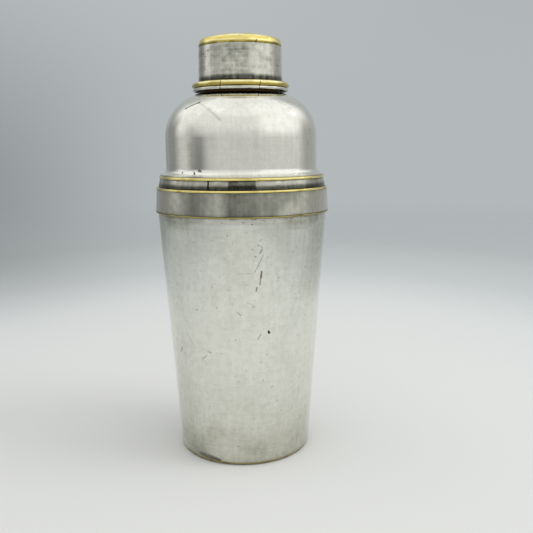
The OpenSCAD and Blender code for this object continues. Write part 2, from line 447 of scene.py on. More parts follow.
def spinning_tree():
    """Turns a section's points round Z: a grid's rows take the section, its columns the turn."""
    kinds = {"Section": "Geometry", "Sides": "Int", "Seed": "Int", "Finish": "Material"}
    kinds.update(dict.fromkeys(DENT_LENGTHS, "Float"))
    tree, given, names = new_group("spun_sheet", "Geometry", kinds, ("Piece", "Geometry"))
    rows = add(tree, "AttributeDomainSize", {"Geometry": given["Section"]})
    columns = add(tree, "Math.ADD", [given["Sides"], 1.0])
    grid = add(tree, "MeshGrid", {"Vertices X": columns, "Vertices Y": rows})
    index = add(tree, "InputIndex")
    row = add(tree, "Math.MODULO", [index, rows])
    share = add(tree, "Math.DIVIDE", [index, rows])
    column = add(tree, "Math.FLOOR", [share])
    place = add(tree, "InputPosition")
    sample = {"Geometry": given["Section"], "Value": place, "Index": row}
    corner = add(tree, "SampleIndex", sample, data_type="FLOAT_VECTOR")
    step = add(tree, "Math.DIVIDE", [math.tau, given["Sides"]])
    turn = {"Vector": corner, "Angle": add(tree, "Math.MULTIPLY", [column, step])}
    turned = add(tree, "VectorRotate", turn, rotation_type="Z_AXIS")
    spun = add(tree, "SetPosition", {"Geometry": grid, "Position": turned})
    layout = {"Geometry": spun, "Name": "UVMap", "Value": grid.node.outputs["UV Map"]}
    corners = {"data_type": "FLOAT2", "domain": "CORNER"}
    mapped = add(tree, "StoreNamedAttribute", layout, **corners)
    whole = add(tree, "MergeByDistance", {"Geometry": mapped, "Distance": WELD})

    # Shallow dents of a sheet that was used, which die out towards its joints. The noise mostly
    # swings a quarter to each side, so four times the depth gives dents of that depth.
    pitch = add(tree, "Math.DIVIDE", [1.0, given["Dent size"]])
    field = {"Vector": place, "W": given["Seed"], "Scale": pitch, "Detail": 1.0}
    ripple = add(tree, "TexNoise", field, out="Color", noise_dimensions="4D")
    push = add(tree, "VectorMath.SUBTRACT", [ripple, (0.5, 0.5, 0.5)])
    level = add(tree, "SeparateXYZ", [place], out="Z")
    amount = add(tree, "Math.MULTIPLY", [given["Dent depth"], 4.0])
    for edge, way in (("Dents from", "ADD"), ("Dents to", "SUBTRACT")):
        inner = add(tree, "Math." + way, [given[edge], given["Dents fade"]])
        fade = add(tree, "MapRange", [level, given[edge], inner], interpolation_type="SMOOTHSTEP")
        amount = add(tree, "Math.MULTIPLY", [amount, fade])
    offset = add(tree, "VectorMath.SCALE", {0: push, "Scale": amount})
    dented = add(tree, "SetPosition", {"Geometry": whole, "Offset": offset})

    smooth = add(tree, "SetShadeSmooth", {"Geometry": dented})
    hand_over(tree, smooth, given["Finish"])
    return tree, names


def piercing_tree(spinning):
    """A round plate with rings of holes, filled from its outlines, inside a spun rim."""
    kinds = {"Section": "Geometry", "Sides": "Int", "Finish": "Material"}
    kinds.update(dict.fromkeys(PLATE_LENGTHS, "Float"))
    tree, given, names = new_group("pierced_cup", "Geometry", kinds, ("Piece", "Geometry"))
    centres = [add(tree, "Points", {"Count": 1})]
    for k in range(1, STRAINER_RINGS + 1):
        out_by = add(tree, "Math.MULTIPLY", [given["Hole pitch"], float(k)])
        centres.append(add(tree, "MeshCircle", {"Vertices": 6 * k, "Radius": out_by}))
    spots = add(tree, "JoinGeometry", {"Geometry": centres})
    hole_size = {"Resolution": HOLE_SIDES, "Radius": given["Hole radius"]}
    hole = add(tree, "CurvePrimitiveCircle", hole_size)
    drilled = add(tree, "InstanceOnPoints", {"Points": spots, "Instance": hole})
    holes = add(tree, "RealizeInstances", {"Geometry": drilled})
    rim_size = {"Resolution": given["Sides"], "Radius": given["Plate radius"]}
    edge = add(tree, "CurvePrimitiveCircle", rim_size)
    drawing = add(tree, "JoinGeometry", {"Geometry": [edge, holes]})
    flat = add(tree, "FillCurve", {"Curve": drawing})
    lift = {"Offset": (0.0, 0.0, 1.0), "Offset Scale": given["Plate thickness"]}
    upper = add(tree, "ExtrudeMesh", {"Mesh": flat, "Individual": False, **lift})
    lower = add(tree, "FlipFaces", {"Mesh": flat})
    both = add(tree, "JoinGeometry", {"Geometry": [upper, lower]})
    plate = add(tree, "MergeByDistance", {"Geometry": both, "Distance": WELD})
    rise = add(tree, "CombineXYZ", {"Z": given["Plate level"]})
    raised = add(tree, "SetPosition", {"Geometry": plate, "Offset": rise})
    flat_look = {"Geometry": raised, "Shade Smooth": False}
    flat_shaded = add(tree, "SetShadeSmooth", flat_look)
    turn = {"Section": given["Section"], "Sides": given["Sides"], "Dent size": 1.0}
    rim = add(tree, "Group", turn, node_tree=spinning)
    cup = add(tree, "JoinGeometry", {"Geometry": [flat_shaded, rim]})
    hand_over(tree, cup, given["Finish"])
    return tree, names


spinner = spinning_tree()
piercer = piercing_tree(spinner[0])


def new_object(name, data):
    """An object with that mesh, lamp or camera, put into the scene."""
    made = bpy.data.objects.new(name, data)
    bpy.context.scene.collection.objects.link(made)
    return made


def make_piece(name, corners, closed, maker, values):
    """Draws a section, runs a tree with these values on it and keeps the result as a plain mesh."""
    tree, names = maker
    mesh = bpy.data.meshes.new(name)
    mesh.from_pydata([(p.x * MM, 0.0, p.y * MM) for p in outline(corners, closed)], [], [])
    piece = new_object(name, mesh)
    modifier = piece.modifiers.new("made", "NODES")
    modifier.node_group = tree
    for key, value in values.items():
        modifier[names[key]] = value
    evaluated = piece.evaluated_get(bpy.context.evaluated_depsgraph_get())
    made = bpy.data.meshes.new_from_object(evaluated)
    piece.modifiers.remove(modifier)
    piece.data = made
    bpy.data.meshes.remove(mesh)
    made.name = name
    return piece


def spin(node, body, corners, finish, closed=True, dents=NO_DENTS):
    """A spun piece that stands for a CAD node. Dents are five lengths and a seed, as in NO_DENTS."""
    *lengths, seed = dents
    values = {name: length * MM for name, length in zip(DENT_LENGTHS, lengths)}
    values.update({"Sides": SIDES, "Seed": seed, "Finish": finish})
    piece = make_piece(node + "_spun", corners, closed, spinner, values)
    settle(piece, node, body)


def settle(piece, node, body):
    """Rides a finished piece on its body in the place of its CAD node."""
    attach(piece, body)
    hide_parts(node)


# Finishes


def on_side(angle, level, radius):
    """A point on the shaker at an angle from the camera side, in millimetres."""
    turn = math.radians(angle)
    return (radius * math.sin(turn), -radius * math.cos(turn), level)


def tapered(low_r, low, top_r, top):
    """A function that gives the point at an angle and a level on a tapered side."""
    def point(angle, level):
        share = min(1.0, (level - low) / (top - low))
        return on_side(angle, level, low_r + (top_r - low_r) * share)

    return point


def on_dome(angle, level):
    """The point at an angle and a level on the dome: on its cove, its side or its bend."""
    low = reach("shoulder_dome")[1]
    middle_r, middle, _ = dome_bend_middle()
    under = max(0.0, low + DOME_T + COVE_R - level)
    over = max(0.0, level - middle)
    cove = COVE_R - math.sqrt(COVE_R ** 2 - under ** 2)
    return on_side(angle, level, middle_r + math.sqrt(DOME_BEND_R ** 2 - over ** 2) + cove)


def placed(point, marks):
    """Marks by kind, with the angle and level of both their ends turned into points."""
    return {
        kind: [(point(a, z), point(b, y), *shape) for a, z, b, y, *shape in rows]
        for kind, rows in marks.items()
    }


def noise(tree, place, across, up, detail):
    """Noise with grains of that size in millimetres round the piece and up it."""
    per_mm = (1 / across, 1 / across, 1 / up)
    laid = add(tree, "VectorMath.MULTIPLY", [place, per_mm])
    return add(tree, "TexNoise", {"Vector": laid, "Scale": 1.0, "Detail": detail})


# Grain in millimetres of a mark's ragged edge, and what says how a mark lies
RAGGED_GRAIN = 0.909
MARK_SHAPE = ("Start", "End", "Width", "Blur", "Ragged")


def mark_group():
    """Mask of a ragged mark along a line from Start to End, in millimetres."""
    kinds = dict.fromkeys(("Place", "Start", "End"), "Vector")
    kinds.update(dict.fromkeys(("Width", "Blur", "Ragged"), "Float"))
    tree, given, _ = new_group("placed_mark", "Shader", kinds, ("Mask", "Float"))
    line = add(tree, "VectorMath.SUBTRACT", [given["End"], given["Start"]])
    way = add(tree, "VectorMath.SUBTRACT", [given["Place"], given["Start"]])
    run = add(tree, "VectorMath.DOT_PRODUCT", [way, line], out="Value")
    square = add(tree, "VectorMath.DOT_PRODUCT", [line, line], out="Value")
    share = add(tree, "Math.DIVIDE", [run, square], use_clamp=True)
    near = add(tree, "VectorMath.SCALE", {0: line, "Scale": share})
    gap = add(tree, "VectorMath.SUBTRACT", [way, near])
    away = add(tree, "VectorMath.LENGTH", [gap], out="Value")
    jitter = noise(tree, given["Place"], RAGGED_GRAIN, RAGGED_GRAIN, 2.0)
    distance = sway(tree, away, jitter, given["Ragged"])
    outer = add(tree, "Math.ADD", [given["Width"], given["Blur"]])
    span = [distance, outer, given["Width"]]
    mask = add(tree, "MapRange", span, interpolation_type="SMOOTHSTEP")
    fill(tree, tree.nodes.new("NodeGroupOutput"), {"Mask": mask})
    return tree


placed_mark = mark_group()


def shader(name):
    """A new material with its tree, its shader and the place on its piece in millimetres."""
    material = bpy.data.materials.new(name)
    material.use_nodes = True
    tree = material.node_tree
    body = tree.nodes["Principled BSDF"]
    place = add(tree, "TexCoord", out="Object")
    return material, tree, body, add(tree, "VectorMath.SCALE", {0: place, "Scale": 1 / MM})


def marks_mask(tree, place, marks):
    """The strongest of several placed marks: (start, end, width, blur, ragged, strength)."""
    total = 0.0
    for *shape, strength in marks:
        values = dict(zip(MARK_SHAPE, shape), Place=place)
        mark = add(tree, "Group", values, node_tree=placed_mark)
        mask = add(tree, "Math.MULTIPLY", [mark, strength])
        total = add(tree, "Math.MAXIMUM", [total, mask])
    return total


def by_level(tree, place, stops, waver):
    """Colour between (level, colour) stops up the piece, along a line that wavers by millimetres."""
    low, top = stops[0][0], stops[-1][0]
    level = add(tree, "SeparateXYZ", [place], out="Z")
    wavy = sway(tree, level, noise(tree, place, 5, 5, 2.0), waver)
    share = add(tree, "MapRange", [wavy, low, top])
    spread = [((z - low) / (top - low), colour) for z, colour in stops]
    return add(tree, "ValToRGB", [share], stops=spread)


# Silver by the thickness of the film on it, from clean to black
FILM_SHADES = [(0, "#ECECE3"), (0.3, "#CECEC1"), (0.55, "#9A9B8E"), (0.8, "#5A5B53"), (1, "#292723")]

# Directions of the rub marks: tilt and swing in degrees
RUB_TURNS = [(25, 10), (-35, 70), (70, -50)]

# Share of the rub marks in the colour and in the relief, and of the grain in the relief
RUB_SHADE = 0.22
RUB_DEPTH = 0.06
GRAIN_DEPTH = 0.25

# Roughness that the film, the grain and the rub marks add
FILM_DULLS = 0.15
GRAIN_DULLS = 0.12
RUBS_DULL = 0.06

# Shade of each kind of placed mark in the plate, and its share of the relief
PLATE_MARKS = [("scratch", "#8D8B80", 0.3), ("fleck", "#6A5144", 0.5), ("pit", "#17120E", 1.0)]


def silver_plate(name, polish, tarnish, uneven, dirt=0.0, marks=None):
    """Silver plated on brass: a polished skin with fine rub marks, clouded by a thin film.

    Polish is the clean metal's roughness. Tarnish gives (level, amount) stops up the piece, which on
    some pieces also paint shade. Uneven says how much clouds, mottling, wipes and fine lines change
    the film, dirt how many pores hold dirt, and marks are the placed rubbed places, smudges, pits,
    flecks and scratches. Some smudges are painted shade and painted reflections, and some rubbed
    places painted highlights.
    """
    material, tree, body, place = shader(name)
    masks = {kind: marks_mask(tree, place, rows) for kind, rows in (marks or {}).items()}
    film = by_level(tree, place, [(z, grey(amount)) for z, amount in tarnish], waver=1.2)

    # Clouds 20 mm across, mottling of 2.5 mm, wipes 22 mm long up the piece, fine lines round it
    grain = noise(tree, place, 2.5, 2.5, 5.0)
    clouds = noise(tree, place, 20, 20, 3.0)
    wipes = noise(tree, place, 1.8, 22, 2.0)
    lines = noise(tree, place, 12, 0.8, 2.0)
    for patch, weight in zip((clouds, grain, wipes, lines), uneven):
        film = sway(tree, film, patch, 2 * weight)
    # Smudges thicken the film and rubbed places thin it. Many of them are painted: shade, dark
    # reflections and light bands, as the tables of marks say.
    for kind, way in (("rubbed", "SUBTRACT"), ("smudge_and_shade", "ADD")):
        film = add(tree, "Math." + way, [film, masks.get(kind, 0.0)])
    film = add(tree, "Math.MAXIMUM", [film, 0.0])
    clean = add(tree, "ValToRGB", [film], stops=shades(FILM_SHADES))

    # Rub marks: streaks 0.45 mm wide and 12 mm long, drawn coarse to show
    rubs = 0.0
    for tilt, swing in RUB_TURNS:
        turn = (math.radians(90 - tilt), 0.0, math.radians(swing))
        laid = add(tree, "Mapping", {"Vector": place, "Rotation": turn})
        streak = add(tree, "MapRange", [noise(tree, laid, 0.45, 12, 2.0), 0.6, 0.75])
        rubs = add(tree, "Math.MAXIMUM", [rubs, streak])
    faint = add(tree, "Math.MULTIPLY", [rubs, RUB_SHADE])

    # Pores about 0.6 mm across that hold dirt
    pores = add(tree, "MapRange", [noise(tree, place, 1.1, 1.1, 1.0), 0.7, 0.78, 0.0, dirt])

    # Placed marks where the plate is nicked, stained or scratched
    coats = [(faint, linear("#9D9B8F")), (pores, linear("#5A5147"))]
    relief = add(tree, "Math.MULTIPLY", [grain, GRAIN_DEPTH])
    for kind, shade, depth in PLATE_MARKS:
        mask = masks.get(kind, 0.0)
        coats.append((mask, linear(shade)))
        relief = add(tree, "Math.MULTIPLY_ADD", [mask, -depth, relief])
    relief = add(tree, "Math.MULTIPLY_ADD", [rubs, -RUB_DEPTH, relief])
    bump = add(tree, "Bump", {"Height": relief, "Strength": 0.25, "Distance": 0.1 * MM})

    # The film and the rub marks dull the shine, and the grain makes it patchy
    gloss = add(tree, "Math.MULTIPLY_ADD", [film, FILM_DULLS, polish])
    gloss = sway(tree, gloss, grain, GRAIN_DULLS)
    gloss = add(tree, "Math.MULTIPLY_ADD", [rubs, RUBS_DULL, gloss])

    # Inside a cup, where no cloth reaches, the plate is left matt
    normal = add(tree, "NewGeometry", out="Normal")
    outward = add(tree, "VectorMath.MULTIPLY", [place, (1.0, 1.0, 0.0)])
    lean = add(tree, "VectorMath.DOT_PRODUCT", [normal, outward], out="Value")
    matt = add(tree, "MapRange", [lean, -1.0, -8.0, 0.0, INSIDE_MATT])
    gloss = add(tree, "Math.ADD", [gloss, matt])
    colour = coated(tree, clean, coats)
    fill(tree, body, {"Base Color": colour, "Metallic": 1.0, "Roughness": gloss, "Normal": bump})
    return material


def gilt(name, tones, worn, polish, nicks=()):
    """Gold washed over silver and glossy, with painted highlights and painted olive shade by level,
    rubbed patches and dirt specks.

    Tones gives (level, colour) stops up the piece, which paint its light and shade, and worn is the
    colour of its rubbed patches.
    """
    material, tree, body, place = shader(name)
    # Painted highlights and painted shade up the piece, from the tones
    bright = by_level(tree, place, shades(tones), waver=0.3)

    # Wear patches about 7 mm long and specks about 1 mm across
    rubbed = add(tree, "MapRange", [noise(tree, place, 7, 7, 4.0), 0.5, 0.3])
    specks = noise(tree, place, 1.2, 1.2, 3.0)
    dirt = add(tree, "MapRange", [specks, 0.66, 0.8])
    nicked = marks_mask(tree, place, nicks)
    dirt = add(tree, "Math.MAXIMUM", [dirt, nicked])
    colour = coated(tree, bright, [(rubbed, linear(worn)), (dirt, linear("#2A2010"))])
    gloss = add(tree, "Math.MULTIPLY_ADD", [dirt, 0.3, polish])
    bump = add(tree, "Bump", {"Height": specks, "Strength": 0.15, "Distance": 0.1 * MM})
    fill(tree, body, {"Base Color": colour, "Metallic": 1.0, "Roughness": gloss, "Normal": bump})
    return material


def gilt_wire(name, node, bright, worn, polish):
    """Gilt for a thin wire: a painted highlight along its middle, and darker along its joints, partly
    dirt and partly painted shade.
    """
    low, top = reach(node)[1:]
    height = top - low
    # A painted highlight along the middle; the edges are darker, partly dirt in the joints and partly
    # painted shade
    tones = [(low, worn), (low + 0.35 * height, bright), (low + 0.7 * height, bright), (top, worn)]
    return gilt(name, tones, worn, polish)


def tarnished_plate(name, tones):
    """Plate gone brown-black at its root, where no cloth reaches, with painted shade deepening it
    there, and left dull and warm above it.
    """
    material, tree, body, place = shader(name)
    dull = by_level(tree, place, shades(tones), waver=1.6)

    # Brown patches about 5 mm across
    patches = noise(tree, place, 5, 5, 5.0)
    stain = add(tree, "MapRange", [patches, 0.45, 0.8, 0.0, 0.7])
    colour = coated(tree, dull, [(stain, linear("#4A3622"))])
    gloss = add(tree, "MapRange", [patches, 0.0, 1.0, 0.5, 0.3])
    bump = add(tree, "Bump", {"Height": patches, "Strength": 0.2, "Distance": 0.2 * MM})
    fill(tree, body, {"Base Color": colour, "Metallic": 1.0, "Roughness": gloss, "Normal": bump})
    return material


CORK_SHADES = [(0.0, "#A87C4E"), (0.5, "#BF9565"), (1.0, "#D2AD7C")]
CORK_GRAIN = 2.0


def cork(name):
    """Pressed cork: matte grains about 2 mm across with dark seams and pores."""
    material, tree, body, place = shader(name)
    grains = {"Vector": place, "Scale": 1 / CORK_GRAIN}
    tint = add(tree, "TexVoronoi", grains, out="Color")
    seam = add(tree, "TexVoronoi", grains, feature="DISTANCE_TO_EDGE")
    tone = add(tree, "SeparateColor", [tint])
    pale = add(tree, "ValToRGB", [tone], stops=shades(CORK_SHADES))
    dark = add(tree, "MapRange", [seam, 0.1, 0.0])
    colour = coated(tree, pale, [(dark, linear("#6B472A"))])
    bump = add(tree, "Bump", {"Height": seam, "Strength": 0.6, "Distance": 0.3 * MM})
    fill(tree, body, {"Base Color": colour, "Roughness": 0.9, "Normal": bump})
    return material


# Marks on the front: angle and level of both ends, width, blur, raggedness and strength
BEAKER_MARKS = {
    "smudge_and_shade": [
        (-40, 2.8, -27, 1.9, 0.2, 1.8, 1.2, 0.34),
        (-31, 2.7, -21, 1.6, 0.2, 1.3, 0.9, 0.4),
        (-60, 9, -42, 6, 1, 9, 4, 0.16),
        (-34, 10, -20, 16, 1, 7, 5, 0.14),
        (-8, 14, 14, 9, 1, 8, 5, 0.12),
        (28, 10, 62, 14, 1, 9, 5, 0.08),
        (66, 104, 60, 84, 3, 12, 5, 0.2),
        # Painted shade under the collar: darker bands at both sides and weaker ones beside its front
        (-52, 110, -36, 110, 0.5, 5, 2, 0.3),
        (32, 110, 58, 110, 0.5, 4.6, 2, 0.26),
        (-30, 108, -12, 105, 1, 5, 3, 0.05),
        (10, 109, 30, 106, 1, 5, 3, 0.07),
    ],
    "pit": [
        (19.5, 62.9, 19.8, 62.2, 0.3, 0.3, 0.25, 1),
        (8, 99.2, 8, 99.3, 0.1, 0.3, 0.2, 0.6),
        (26, 86.4, 26, 86.5, 0.1, 0.3, 0.2, 0.6),
        # A painted dark line of shade right under the collar's front
        (-6, 111.8, 10, 111.8, 0.02, 0.35, 0.5, 0.6),
        (2, 110.6, 2.6, 110.5, 0.08, 0.3, 0.3, 0.6),
        (7.6, 109.8, 7.9, 109.7, 0.12, 0.25, 0.2, 0.7),
        (14, 111.2, 15.5, 111.1, 0.05, 0.3, 0.4, 0.6),
        (22, 110.9, 22.6, 110.8, 0.06, 0.3, 0.4, 0.5),
        (-11, 110.4, -10.8, 110.3, 0.06, 0.3, 0.3, 0.5),
        (9.5, 96.2, 10.3, 96, 0.1, 0.3, 0.2, 0.45),
    ],
    "fleck": [
        (14, 89.7, 13.6, 87, 0.22, 0.3, 0.5, 0.85),
        (13.4, 87, 12.8, 84, 0.1, 0.3, 0.4, 0.75),
        (10.8, 82.8, 10.4, 81.4, 0.15, 0.3, 0.3, 0.75),
        (11.3, 101.2, 14.4, 99.9, 0.06, 0.35, 0.3, 0.45),
        (14, 99, 13, 97.7, 0.15, 0.5, 0.4, 0.5),
        (-32.8, 72, -32.2, 72, 0.2, 0.4, 0.3, 0.35),
        (-51.8, 52.7, -55.6, 49.9, 0.1, 0.35, 0.4, 0.55),
        (-26.7, 51.4, -30.5, 49.7, 0.1, 0.35, 0.4, 0.45),
    ],
    "scratch": [
        (15.1, 96.9, 9.3, 89.3, 0.05, 0.25, 0.1, 0.7),
        (8.1, 88.9, -1.8, 89.1, 0.04, 0.3, 0.5, 0.35),
        (-2.2, 72, -0.3, 70.7, 0.1, 0.3, 0.3, 0.6),
        (13.8, 61.8, 11.6, 59.6, 0.15, 0.4, 0.4, 0.5),
        (-20, 105.8, 24, 106.4, 0.05, 0.3, 0.4, 0.3),
        (-12, 64.5, 6, 64.2, 0.04, 0.3, 0.6, 0.3),
        (-44, 60, -36, 54, 0.05, 0.3, 0.5, 0.3),
        (4, 76.5, 10, 74.6, 0.05, 0.3, 0.5, 0.3),
    ],
}

COLLAR_MARKS = {
    # Painted reflections: the dark patch at the collar's front and darker streaks round it
    "smudge_and_shade": [
        (1, 113, 1, 122, 4.2, 4.6, 1.5, 0.23),
        (14, 113, 18, 122, 3, 9, 4, 0.14),
        (-29, 113, -29, 122, 1, 7, 3, 0.07),
        (24, 117, 36, 121, 0.5, 6, 3, 0.12),
    ],
    # Painted reflections: lighter streaks, and the lighter ends of the collar
    "rubbed": [
        (-13, 113, -13, 122, 0.6, 2.5, 0.8, 0.05),
        (-70, 113, -70, 122, 6, 10, 3, 0.26),
        (70, 113, 70, 122, 6, 10, 3, 0.2),
        (27, 113, 31, 116, 0.5, 4, 2, 0.12),
    ],
}

DOME_MARKS = {
    # Painted reflections: thin dark ragged lines high on the bend, and a dark upright band on the left
    "smudge_and_shade": [
        (-48.4, 157.2, -35.6, 159.5, 0.15, 0.6, 0.5, 0.75),
        (-35.6, 159.5, -22.2, 161, 0.06, 0.4, 0.5, 0.35),
        (36.4, 159.4, 46, 156.9, 0.06, 0.4, 0.5, 0.4),
        (-36, 133, -36.5, 142, 0.2, 2.6, 2, 0.22),
        (-36.5, 142, -36, 156, 0.2, 3.6, 3, 0.07),
    ],
    "fleck": [
        (-37, 129.4, -26, 129.4, 0.04, 0.3, 0.4, 0.7),
        (33, 129.4, 43, 129.4, 0.04, 0.3, 0.5, 0.5),
    ],
    "pit": [
        (-44.6, 130.6, -44, 130.4, 0.15, 0.35, 0.3, 0.9),
        (-33, 130.6, -32, 130, 0.2, 0.4, 0.4, 0.9),
        (-29.5, 131.4, -27.5, 131.2, 0.2, 0.5, 0.4, 0.8),
        (58, 143, 58.5, 142, 0.1, 0.3, 0.3, 0.5),
        (62, 148.5, 62.4, 148, 0.1, 0.3, 0.3, 0.5),
    ],
    "scratch": [
        (-34.8, 159.1, -24, 156.5, 0.05, 0.8, 0.8, 0.3),
        (-24, 156.5, -13.2, 152.2, 0.1, 1, 0.8, 0.4),
    ],
}

# The smudge on the foot band is a painted reflection, a dark patch at its front. The pit on the foot
# band is its soldered seam
FOOT_BAND_MARKS = {
    "smudge_and_shade": [(2, 124, 2, 127, 5.2, 0.8, 0.3, 0.33)],
    "pit": [(-19.7, 123.6, -19.7, 127.3, 0.22, 0.25, 0.1, 1)],
}

CAP_MARKS = {
    "smudge_and_shade": [(-12, 182.2, 8, 181.6, 0.6, 2.6, 1.5, 0.12)],
    # Painted highlights: light upright bands on the cap's wall
    "rubbed": [
        (68, 172, 68, 183, 1.5, 5, 2, 0.16),
        (-50, 172, -50, 183, 1, 4, 2, 0.12),
    ],
    "pit": [
        (-58.5, 181, -57, 180.6, 0.15, 0.35, 0.4, 0.9),
        (-46.2, 181.8, -45, 181.6, 0.12, 0.35, 0.3, 0.8),
        (-53, 179.5, -52, 179.3, 0.1, 0.3, 0.3, 0.7),
    ],
}


def up_from(node, stops, last):
    """Stops whose levels are counted from a node's lower edge, and the last one at its top."""
    _, low, top = reach(node)
    return [(low + rise, value) for rise, value in stops] + [(top, last)]


def build_beaker():
    body = "beaker"
    line = SCRIBED_LINE
    low, top = reach("beaker_wall")[1:]
    low_r, mouth_r, bend = beaker_side()
    lower_film = [(1.2, 0.42), (3, 0.3), (12, 0.18), (40, 0.08), (60, 0.05), (90, 0.08), (100, 0.13)]
    line_film = [(line - 0.5, 0.12), (line, 0.18), (line + 0.5, 0.1)]
    # Painted shade in a thin band just under the collar
    collar_shade = [(111, 0.13), (112, 0.4), (113.5, 0.12), (122, 0.14)]
    bright = silver_plate(
        "silver_plate_beaker",
        polish=0.13,
        tarnish=lower_film + line_film + collar_shade,
        uneven=(0.12, 0.13, 0.08, 0.06),
        dirt=0.5,
        marks=placed(tapered(low_r, low, mouth_r, bend), BEAKER_MARKS),
    )
    collar_r, collar_low, collar_top = reach("collar_band")
    on_collar = tapered(collar_r, collar_low, collar_r - COLLAR_FLARE, collar_top)
    dulled = silver_plate(
        "silver_plate_collar",
        polish=0.14,
        tarnish=up_from("collar_band", [(0, 0.55), (0.9, 0.43), (8.1, 0.41)], 0.5),
        uneven=(0.22, 0.12, 0.1, 0.0),
        marks=placed(on_collar, COLLAR_MARKS),
    )
    bead = gilt_wire("gilt_mouth_wire", "collar_top_wire", "#F6E799", "#BFAD60", 0.1)
    dull_gilt = gilt_wire("gilt_worn_wire", "collar_bottom_wire", "#A69B64", "#766C46", 0.28)
    dull_foot = gilt_wire("gilt_worn_foot", "foot_ring", "#A09668", "#6F6747", 0.3)
    dents = (0.03, 22.0, low + 2, top - 14, 10.0, 3)
    spin("beaker_wall", body, beaker_wall_section(), bright, dents=dents)
    spin("base_disc", body, base_disc_section(), bright, closed=False)
    foot_r = reach("foot_ring")[0]
    spin("foot_ring", body, wire("foot_ring", foot_r - FOOT_W), dull_foot)
    spin("collar_band", body, collar_band_section(), dulled)
    spin("collar_top_wire", body, wire("collar_top_wire", mouth_r - BEAKER_T), bead)
    lower_wire = wire("collar_bottom_wire", mouth_r + SOLDER_GAP)
    spin("collar_bottom_wire", body, lower_wire, dull_gilt)


def build_shoulder():
    body = "shoulder"
    low, top = reach("shoulder_dome")[1:]
    # A thin darker ring round the neck at the top, partly tarnish under the cap's rim and partly
    # painted shade
    dome_film = [(0, 0.0), (4, 0.03), (20, 0.05), (34.9, 0.03), (35.3, 0.3)]
    bright = silver_plate(
        "silver_plate_dome",
        polish=0.1,
        tarnish=up_from("shoulder_dome", dome_film, 0.5),
        uneven=(0.12, 0.1, 0.12, 0.06),
        marks=placed(on_dome, DOME_MARKS),
    )
    band_r, band_low, band_top = reach("shoulder_foot_band")
    on_band = tapered(band_r, band_low, band_r - FOOT_BAND_FLARE, band_top)
    # Painted shade over the lower half of the foot band, which faces down into the gap over the collar
    band_painted_shade = [(0, 0.95), (1.3, 0.78), (2.1, 0.45), (3.0, 0.38)]
    dulled = silver_plate(
        "silver_plate_foot_band",
        polish=0.11,
        tarnish=up_from("shoulder_foot_band", band_painted_shade, 0.6),
        uneven=(0.2, 0.14, 0.12, 0.0),
        marks=placed(on_band, FOOT_BAND_MARKS),
    )
    inside_film = [(112, 0.3), (186, 0.35)]
    inside = silver_plate("silver_plate_inside", 0.25, inside_film, uneven=(0.15, 0.1, 0.05, 0.05))
    # Dark brown towards the neck's root: tarnish there, and painted shade where the root sits in the
    # gap under the cap
    neck_tarnish_and_shade = [(0, "#50391F"), (3.5, "#5D4430"), (5.5, "#6E5F49"), (8.5, "#9B9079")]
    brown = tarnished_plate("plate_tarnished_shaded_brown", up_from("neck_tube", neck_tarnish_and_shade, "#B3A991"))
    bead = gilt_wire("gilt_shoulder_wire", "shoulder_wire", "#F6E799", "#C9B76A", 0.1)
    dents = (0.03, 14.0, low + 3, top - 1, 6.0, 7)
    spin("shoulder_dome", body, dome_section(), bright, dents=dents)
    spin("shoulder_foot_band", body, foot_band_section(), dulled)
    grip_r = reach("mouth_sleeve")[0] - SLEEVE_STEP
    spin("shoulder_wire", body, wire("shoulder_wire", grip_r + SOLDER_GAP), bead)
    spin("mouth_sleeve", body, sleeve_section(), inside)
    neck_r, neck_low, neck_top = reach("neck_tube")
    tube = ring(neck_r - NECK_T, neck_r, neck_low, neck_top)
    spin("neck_tube", body, tube, brown)
    spin("neck_lip", body, wire("neck_lip", neck_r - LIP_W), inside)
    pierce_strainer(inside)


def pierce_strainer(finish):
    """The strainer: a pierced plate in a shallow rim."""
    out_r, low, top = reach("strainer")
    in_r = out_r - STRAINER_T
    values = {
        "Sides": SIDES,
        "Plate radius": (in_r + out_r) / 2 * MM,
        "Plate level": low * MM,
        "Plate thickness": STRAINER_T * MM,
        "Hole radius": STRAINER_HOLE_D / 2 * MM,
        "Hole pitch": (in_r - STRAINER_BORDER - STRAINER_HOLE_D / 2) / STRAINER_RINGS * MM,
        "Finish": finish,
    }
    rim = ring(in_r, out_r, low, top)
    piece = make_piece("strainer_pierced", rim, True, piercer, values)
    settle(piece, "strainer", "shoulder")


# Gilt of the cap's bead and crown, by millimetres up from their lower edge: painted light and shade.
# The bead has a painted highlight along its top and painted olive shade below, and the crown painted
# bright and dark bands of reflection
BEAD_PAINTED_LIGHT = [(0, "#BBA96A"), (0.4, "#AA9850"), (0.8, "#CAB65C"), (1.2, "#F0DF86"), (1.7, "#FFFAC8")]
CROWN_EDGE_PAINTED_LIGHT = [(0, "#7C7238"), (0.5, "#988A40"), (0.9, "#DFCB6C"), (1.2, "#FFF7BC")]
CROWN_TOP_PAINTED_LIGHT = [
    (1.5, "#FFF3A8"), (1.9, "#E9D675"), (2.5, "#DCC868"), (3.1, "#FFFCD4"), (4.0, "#FAEE9C")
]

# Two nicks that run up over both beads: angle, and how far below the gilt bead's top they end.
# Their lines start that far inside the rim bead's edge.
NICKS = [(-22, 1.0), (24, 0.8)]
NICK_INSET = 0.2


